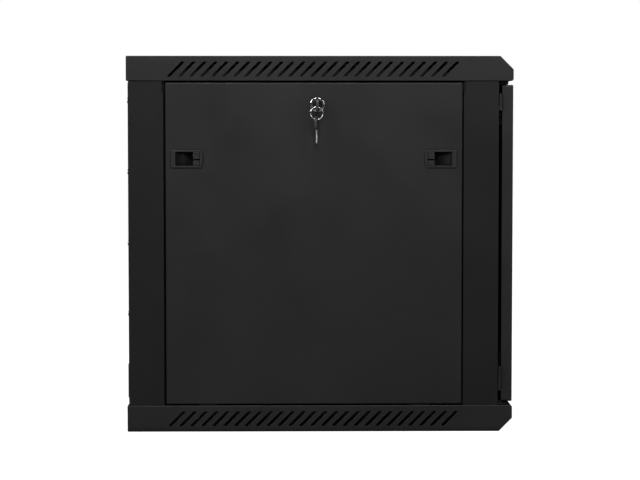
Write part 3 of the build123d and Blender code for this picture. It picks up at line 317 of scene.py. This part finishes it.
def key_plastic():
    """The keys' moulded heads: smooth black plastic, polished by handling, with a painted highlight
    along the edges.
    """
    n = Nodes("key_plastic")
    tone = n.between(n.noise(120.0, 3.0), low=0.85, high=1.2)
    # Every edge lightened: a painted edge highlight.
    edge_rub_and_highlight = n.maths("MULTIPLY", n.edge_mask(radius=0.6 * MM), 0.6)
    colour = n.mix(edge_rub_and_highlight, n.shade(rgb(KEY_HEAD_LEVEL), tone), rgb(KEY_EDGE_HIGHLIGHT))
    rough = n.between(n.noise(600.0, 3.0), low=0.26, high=0.42)
    normal = n.bump(n.noise(1800.0, 2.0), 0.02 * MM, 0.5, n.rounded(0.4 * MM))
    return n.finish(colour, rough, normal, specular=0.55)


def rubber():
    """Matt black rubber with a dusty bloom."""
    n = Nodes("rubber_black")
    bloom = n.between(n.noise(50.0, 5.0, 0.6), low=0.0, high=0.6)
    colour = n.mix(bloom, rgb(RUBBER_LEVEL), rgb(RUBBER_DUST))
    rough = n.between(n.noise(300.0, 3.0), low=0.62, high=0.82)
    normal = n.bump(n.noise(1700.0, 3.0), 0.05 * MM, 0.6, n.rounded(0.4 * MM))
    return n.finish(colour, rough, normal, specular=0.3)


def tinted_glass():
    """A thin pane of grey toughened glass, with sharp reflections and faint wipe marks."""
    n = Nodes("tinted_glass")
    clear = n.add("ShaderNodeBsdfTransparent")
    clear.inputs["Color"].default_value = GLASS_TINT
    gloss = n.add("ShaderNodeBsdfGlossy")
    smears = n.noise(22.0, 5.0, 0.6, stretch=(1.0, 1.0, 0.25))
    wipe = n.between(smears, low=0.0, high=0.07, start=0.45, end=0.8)
    n.feed(gloss.inputs["Roughness"], wipe)
    fresnel = n.add("ShaderNodeFresnel")
    fresnel.inputs["IOR"].default_value = GLASS_IOR
    mixer = n.add("ShaderNodeMixShader")
    n.feed(mixer.inputs[0], fresnel.outputs[0])
    n.feed(mixer.inputs[1], clear.outputs[0])
    n.feed(mixer.inputs[2], gloss.outputs[0])
    n.tree.links.new(mixer.outputs[0], n.output.inputs["Surface"])
    return n.material


def make_materials():
    return {
        "powder_coat": powder_coat("powder_coat_black", COAT_LEVEL, COAT_GLOSS, COAT_ROUGH),
        "post_coat_shaded": powder_coat("powder_coat_posts_shaded", POST_SHADED_LEVEL, POST_SHADED_GLOSS, POST_ROUGH),
        "zinc_plate": zinc_plate(),
        "lock_chrome": chrome("lock_chrome", CHROME, low=0.06, high=0.16),
        "lock_dark": lock_dark(),
        "key_plastic": key_plastic(),
        "key_nickel": chrome("key_nickel", NICKEL, low=0.26, high=0.40),
        "latch_plastic": latch_plastic(),
        "rubber_black": rubber(),
        "door_glass": tinted_glass(),
    }


MATERIALS = make_materials()


def dress(piece, slot):
    """Give the piece its slot's material and no other."""
    piece.data.materials.clear()
    piece.data.materials.append(MATERIALS[slot])


def dress_frame():
    """Every CAD node takes its slot's material; the posts' coat is a darker, flatter copy, painted
    shade.
    """
    for part in RECORD["subparts"]:
        name = part["node"]
        # The posts take a darker, less glossy copy of the coat: painted shade.
        coat = "post_coat_shaded" if name.endswith("_post") else part["material_slot"]
        dress(frame["nodes"][name], coat)


def add_piece(name, mesh, body, slot):
    """Link a new piece that moves with the body."""
    piece = bpy.data.objects.new(name, mesh)
    bpy.context.scene.collection.objects.link(piece)
    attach(piece, body)
    dress(piece, slot)
    return piece


def revolve(name, profile, base, axis, body, slot):
    """A closed ring: profile is (radius, height) points, turned about axis through base."""
    mesh = bmesh.new()
    turn = Vector((0, 0, 1)).rotation_difference(Vector(axis)).to_matrix().to_4x4()
    place = Matrix.Translation(base) @ turn
    rows = []
    for step in range(RING_STEPS):
        angle = 2 * math.pi * step / RING_STEPS
        across, along = math.cos(angle), math.sin(angle)
        points = [Vector((radius * across, radius * along, height)) for radius, height in profile]
        rows.append([mesh.verts.new(place @ point) for point in points])
    for row, after in zip(rows, rows[1:] + rows[:1]):
        for i in range(len(profile)):
            j = (i + 1) % len(profile)
            mesh.faces.new((row[i], after[i], after[j], row[j]))
    bmesh.ops.recalc_face_normals(mesh, faces=mesh.faces)
    data = bpy.data.meshes.new(name)
    mesh.to_mesh(data)
    mesh.free()
    for face in data.polygons:
        face.use_smooth = True
    return add_piece(name, data, body, slot)


def lock_gasket(name, barrel, axis, flange_thickness, body):
    """The thin rubber washer that shows round a lock's flange."""
    low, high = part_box(barrel)
    axis = Vector(axis)
    centre = (low + high) / 2
    reach = max(abs((high - centre).dot(axis)), abs((low - centre).dot(axis)))
    base = centre + axis * (reach - flange_thickness)
    inner, outer, height = GASKET
    round_over = height * GASKET_ROUND
    shoulder = round_over * GASKET_SHOULDER
    profile = [
        (inner, 0.0),
        (outer, 0.0),
        (outer, height - round_over),
        (outer - shoulder, height - shoulder),
        (outer - round_over, height),
        (inner, height),
    ]
    revolve(name, profile, base, axis, body, "rubber_black")


def make_gaskets():
    lock_gasket("left_lock_gasket", "left_lock_barrel", (-1, 0, 0), SIDE_FLANGE, "left_panel")
    lock_gasket("right_lock_gasket", "right_lock_barrel", (1, 0, 0), SIDE_FLANGE, "right_panel")
    lock_gasket("door_lock_gasket", "door_lock_barrel", (0, -1, 0), DOOR_FLANGE, "door")


def aim(item, target):
    """Turn a camera or light so that it looks at the target."""
    item.rotation_euler = (Vector(target) - item.location).to_track_quat("-Z", "Y").to_euler()


def make_camera():
    """Look at the middle of the left side from a long way off, a little above and behind square."""
    low, high = CAD_BOX
    side_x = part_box("top_cover")[0].x
    target = Vector((side_x, 0, (low[2] + high[2]) / 2 + CAMERA_RISE))
    level = math.cos(CAMERA_PITCH)
    back = level * math.cos(CAMERA_YAW)
    aside = level * math.sin(CAMERA_YAW)
    away = Vector((-back, aside, math.sin(CAMERA_PITCH)))
    data = bpy.data.cameras.new("camera")
    data.lens = CAMERA_LENS
    data.sensor_width = CAMERA_SENSOR
    data.clip_end = CAMERA_FAR
    camera = bpy.data.objects.new("camera", data)
    bpy.context.scene.collection.objects.link(camera)
    camera.location = target + away * CAMERA_DISTANCE
    aim(camera, target)
    bpy.context.scene.camera = camera


def area_light(name, place, power, size):
    """A soft box that lights the cabinet and that the camera doesn't see."""
    data = bpy.data.lights.new(name, "AREA")
    data.shape = "RECTANGLE"
    data.size = size[0]
    data.size_y = size[1]
    data.energy = power
    light = bpy.data.objects.new(name, data)
    bpy.context.scene.collection.objects.link(light)
    light.location = place
    aim(light, LIGHT_TARGET)
    light.visible_camera = False


def make_lights():
    """Three soft boxes about the camera, a low strip for the metal, and two for the far sides."""
    boxes = {
        "top_box": TOP_BOX,
        "left_box": LEFT_BOX,
        "right_box": RIGHT_BOX,
        "low_box": LOW_BOX,
        "front_box": FRONT_BOX,
        "back_box": BACK_BOX,
    }
    for name, (place, power, size) in boxes.items():
        area_light(name, place, power, size)


def make_room():
    """The camera sees a white surround; the light that it sheds is dim, and brighter overhead."""
    world = bpy.data.worlds.new("room")
    bpy.context.scene.world = world
    world.use_nodes = True
    tree = world.node_tree
    tree.nodes.clear()

    def add(kind):
        return tree.nodes.new(kind)

    coordinates = add("ShaderNodeTexCoord")
    split = add("ShaderNodeSeparateXYZ")
    ramp = add("ShaderNodeValToRGB")
    scale = add("ShaderNodeMapRange")
    scale.inputs["From Min"].default_value = -1.0
    tree.links.new(coordinates.outputs["Generated"], split.inputs[0])
    tree.links.new(split.outputs["Z"], scale.inputs["Value"])
    tree.links.new(scale.outputs[0], ramp.inputs[0])
    ramp.color_ramp.elements[0].color = rgb(ROOM_FLOOR)
    ramp.color_ramp.elements[1].color = rgb(ROOM_TOP)
    level = ramp.color_ramp.elements.new(0.5)
    level.color = rgb(ROOM_LEVEL)
    dim = add("ShaderNodeBackground")
    tree.links.new(ramp.outputs[0], dim.inputs[0])
    white = add("ShaderNodeBackground")
    white.inputs["Strength"].default_value = 1.0
    white.inputs["Color"].default_value = rgb(1.0)
    path = add("ShaderNodeLightPath")
    mix = add("ShaderNodeMixShader")
    out = add("ShaderNodeOutputWorld")
    tree.links.new(path.outputs["Is Camera Ray"], mix.inputs[0])
    tree.links.new(dim.outputs[0], mix.inputs[1])
    tree.links.new(white.outputs[0], mix.inputs[2])
    tree.links.new(mix.outputs[0], out.inputs[0])


def make_floor():
    """A plain pale floor that takes only a faint shadow."""
    mesh = bpy.data.meshes.new("floor")
    half = FLOOR_SIZE / 2
    corners = [(-half, -half, 0), (half, -half, 0), (half, half, 0), (-half, half, 0)]
    mesh.from_pydata(corners, [], [(0, 1, 2, 3)])
    floor = bpy.data.objects.new("floor", mesh)
    bpy.context.scene.collection.objects.link(floor)
    floor.location.z = CAD_BOX[0][2] - FLOOR_GAP
    n = Nodes("floor_pale")
    matt = n.add("ShaderNodeBsdfDiffuse")
    matt.inputs["Color"].default_value = rgb(FLOOR_LEVEL)
    glow = n.add("ShaderNodeEmission")
    glow.inputs["Color"].default_value = rgb(1.0)
    path = n.add("ShaderNodeLightPath")
    strength = n.maths("MULTIPLY", path.outputs["Is Camera Ray"], FLOOR_GLOW)
    n.feed(glow.inputs["Strength"], strength)
    both = n.add("ShaderNodeAddShader")
    n.feed(both.inputs[0], matt.outputs[0])
    n.feed(both.inputs[1], glow.outputs[0])
    n.tree.links.new(both.outputs[0], n.output.inputs["Surface"])
    mesh.materials.append(n.material)


bpy.context.scene.view_settings.view_transform = "Standard"
dress_frame()
make_gaskets()
make_camera()
make_lights()
make_room()
make_floor()
